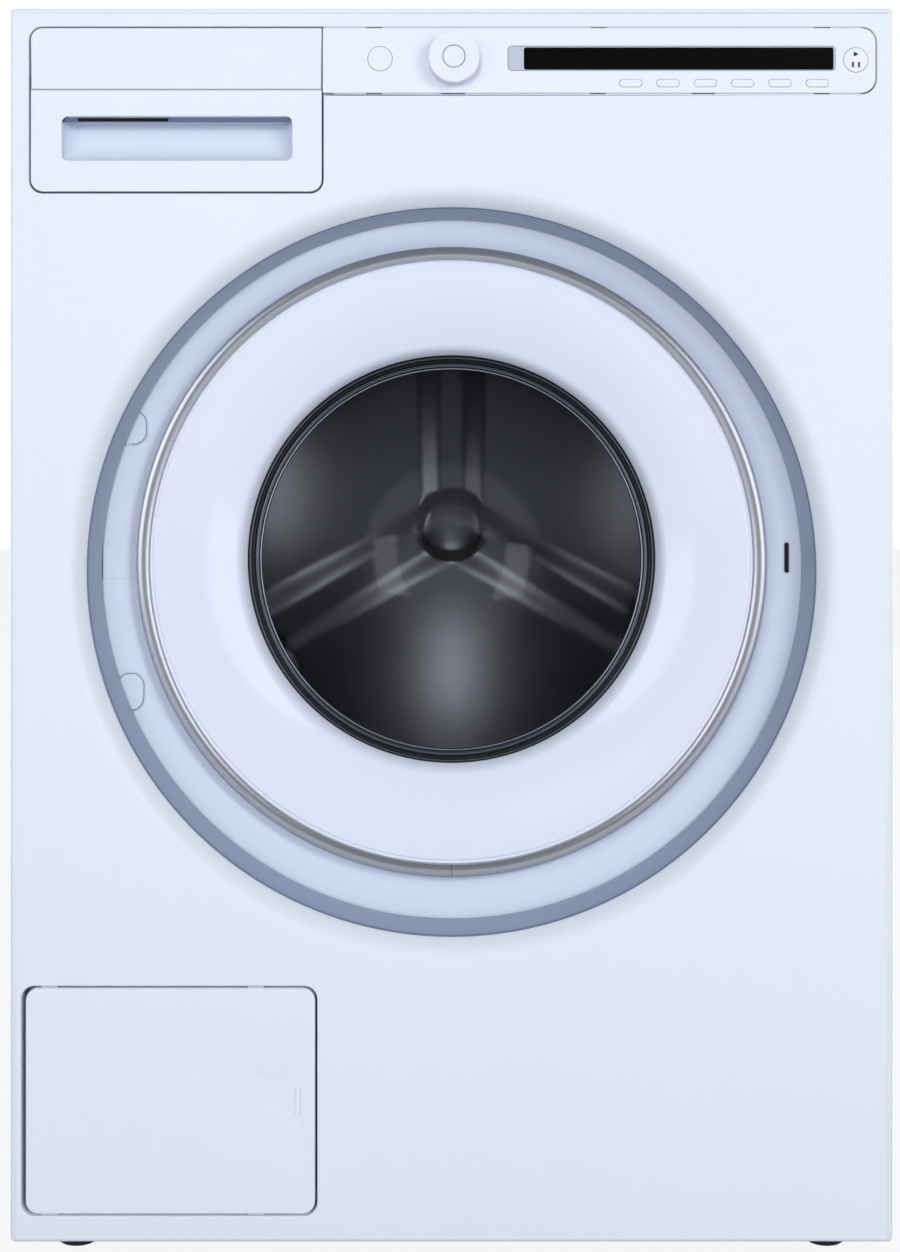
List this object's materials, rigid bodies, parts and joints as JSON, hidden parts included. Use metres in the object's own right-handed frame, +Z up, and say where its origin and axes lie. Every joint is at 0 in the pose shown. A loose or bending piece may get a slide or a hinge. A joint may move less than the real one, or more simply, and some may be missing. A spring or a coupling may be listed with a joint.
{
  "type": "front-loading washing machine",
  "caption": "Free-standing front-loading washing machine with a round glass door in a deep recess, a detergent drawer, a control strip and a service hatch.",
  "frame": {"origin": "middle of the outer box on the floor, under the feet", "axes": "+Z up, the front with the door faces -Y, +X to the right as seen from the front"},
  "size_m": [0.595, 0.615, 0.85],
  "materials": {
    "cabinet_paint": "smooth white baked enamel",
    "white_plastic": "satin white moulded plastic",
    "strip_plastic": "satin pale blue-white plastic",
    "surround_plastic": "satin pale lilac-white plastic",
    "door_steel": "polished stainless steel",
    "drum_steel": "rolled stainless steel",
    "zinc_steel": "galvanised sheet and turned steel",
    "light_alloy": "as cast",
    "weight_iron": "rough cast",
    "door_glass": "clear pressed glass",
    "rubber": "dark grey moulded rubber",
    "grey_plastic": "filled grey moulded plastic",
    "dark_plastic": "dark grey moulded plastic",
    "display_plastic": "black glossy window"
  },
  "bodies": {
    "cabinet": {"front_panel": "cabinet_paint", "side_panel_left": "cabinet_paint", "side_panel_right": "cabinet_paint", "top_panel": "cabinet_paint", "rear_panel": "zinc_steel", "rear_cover": "zinc_steel", "base_pan": "zinc_steel", "damper_tube_front_left": "zinc_steel", "damper_tube_front_right": "zinc_steel", "damper_tube_rear_left": "zinc_steel", "damper_tube_rear_right": "zinc_steel", "pump_body": "grey_plastic", "sump_hose": "rubber", "fill_hose": "rubber", "inlet_valve": "white_plastic", "drain_outlet": "grey_plastic", "mains_gland": "dark_plastic", "drawer_housing": "grey_plastic", "control_strip": "strip_plastic", "display_window": "display_plastic"},
    "tub": {"tub_shell": "grey_plastic", "tub_front": "grey_plastic", "door_surround": "surround_plastic", "door_lock": "dark_plastic", "hinge_bracket": "zinc_steel", "door_seal": "rubber", "front_counterweight": "weight_iron", "drum_bearing": "zinc_steel", "motor": "light_alloy", "drive_belt": "rubber", "heater": "zinc_steel"},
    "drum": {"drum_shell": "drum_steel", "drum_lifter_1": "grey_plastic", "drum_lifter_2": "grey_plastic", "drum_lifter_3": "grey_plastic", "drum_spider": "light_alloy", "drum_pulley": "light_alloy"},
    "motor_pulley": {"motor_pulley": "zinc_steel"},
    "door": {"door_ring": "door_steel", "door_frame": "white_plastic", "door_inner_frame": "white_plastic", "door_glass": "door_glass", "door_hinge_arm": "zinc_steel"},
    "drawer": {"drawer_front": "white_plastic", "drawer_tray": "white_plastic"},
    "hatch": {"service_hatch": "white_plastic"},
    "filter": {"filter_cap": "grey_plastic"},
    "knob": {"program_knob": "white_plastic"},
    "power_button": {"power_button": "white_plastic"},
    "start_button": {"start_button": "white_plastic"},
    "option_button_1": {"option_button_1": "white_plastic"},
    "option_button_2": {"option_button_2": "white_plastic"},
    "option_button_3": {"option_button_3": "white_plastic"},
    "option_button_4": {"option_button_4": "white_plastic"},
    "option_button_5": {"option_button_5": "white_plastic"},
    "option_button_6": {"option_button_6": "white_plastic"},
    "levelling_foot_front_left": {"levelling_foot_front_left": "dark_plastic"},
    "levelling_foot_front_right": {"levelling_foot_front_right": "dark_plastic"},
    "levelling_foot_rear_left": {"levelling_foot_rear_left": "dark_plastic"},
    "levelling_foot_rear_right": {"levelling_foot_rear_right": "dark_plastic"}
  },
  "joints": [
    {"name": "tub_float", "type": "slide", "parent": "cabinet", "child": "tub", "axis": [0, 0, 1], "range_m": [-0.01, 0.006], "stiffness_N_per_m": 15000, "springref_m": 0.02764, "deforming": ["fill_hose", "sump_hose"]},
    {"name": "door_swing", "type": "hinge", "parent": "tub", "child": "door", "pos_m": [-0.259, -0.2825, 0.474], "axis": [0, 0, -1], "range_deg": [0, 95]},
    {"name": "drum_spin", "type": "hinge", "parent": "tub", "child": "drum", "pos_m": [0, 0.2245, 0.474], "axis": [0, 1, 0], "continuous": true},
    {"name": "motor_pulley_spin", "type": "hinge", "parent": "tub", "child": "motor_pulley", "pos_m": [0.12, 0.2585, 0.15], "axis": [0, 1, 0], "continuous": true},
    {"name": "drawer_slide", "type": "slide", "parent": "cabinet", "child": "drawer", "axis": [0, -1, 0], "range_m": [0, 0.19]},
    {"name": "hatch_swing", "type": "hinge", "parent": "cabinet", "child": "hatch", "pos_m": [-0.2745, -0.2895, 0.1134], "axis": [0, 0, -1], "range_deg": [0, 90]},
    {"name": "filter_turn", "type": "hinge", "parent": "cabinet", "child": "filter", "pos_m": [-0.15, -0.2655, 0.092], "axis": [0, -1, 0], "range_deg": [0, 90]},
    {"name": "knob_turn", "type": "hinge", "parent": "cabinet", "child": "knob", "pos_m": [0.0016, -0.2955, 0.8155], "axis": [0, 1, 0], "continuous": true},
    {"name": "power_button_press", "type": "slide", "parent": "cabinet", "child": "power_button", "axis": [0, 1, 0], "range_m": [0, 0.0015], "stiffness_N_per_m": 400, "springref_m": -0.001},
    {"name": "start_button_press", "type": "slide", "parent": "cabinet", "child": "start_button", "axis": [0, 1, 0], "range_m": [0, 0.0015], "stiffness_N_per_m": 400, "springref_m": -0.001},
    {"name": "option_button_1_press", "type": "slide", "parent": "cabinet", "child": "option_button_1", "axis": [0, 1, 0], "range_m": [0, 0.0015], "stiffness_N_per_m": 400, "springref_m": -0.001},
    {"name": "option_button_2_press", "type": "slide", "parent": "cabinet", "child": "option_button_2", "axis": [0, 1, 0], "range_m": [0, 0.0015], "stiffness_N_per_m": 400, "springref_m": -0.001},
    {"name": "option_button_3_press", "type": "slide", "parent": "cabinet", "child": "option_button_3", "axis": [0, 1, 0], "range_m": [0, 0.0015], "stiffness_N_per_m": 400, "springref_m": -0.001},
    {"name": "option_button_4_press", "type": "slide", "parent": "cabinet", "child": "option_button_4", "axis": [0, 1, 0], "range_m": [0, 0.0015], "stiffness_N_per_m": 400, "springref_m": -0.001},
    {"name": "option_button_5_press", "type": "slide", "parent": "cabinet", "child": "option_button_5", "axis": [0, 1, 0], "range_m": [0, 0.0015], "stiffness_N_per_m": 400, "springref_m": -0.001},
    {"name": "option_button_6_press", "type": "slide", "parent": "cabinet", "child": "option_button_6", "axis": [0, 1, 0], "range_m": [0, 0.0015], "stiffness_N_per_m": 400, "springref_m": -0.001},
    {"name": "foot_front_left_height", "type": "slide", "parent": "cabinet", "child": "levelling_foot_front_left", "axis": [0, 0, -1], "range_m": [0, 0.015]},
    {"name": "foot_front_right_height", "type": "slide", "parent": "cabinet", "child": "levelling_foot_front_right", "axis": [0, 0, -1], "range_m": [0, 0.015]},
    {"name": "foot_rear_left_height", "type": "slide", "parent": "cabinet", "child": "levelling_foot_rear_left", "axis": [0, 0, -1], "range_m": [0, 0.015]},
    {"name": "foot_rear_right_height", "type": "slide", "parent": "cabinet", "child": "levelling_foot_rear_right", "axis": [0, 0, -1], "range_m": [0, 0.015]}
  ],
  "couplings": [
    {"joint": "motor_pulley_spin", "follows": "drum_spin", "ratio": 12.5}
  ]
}
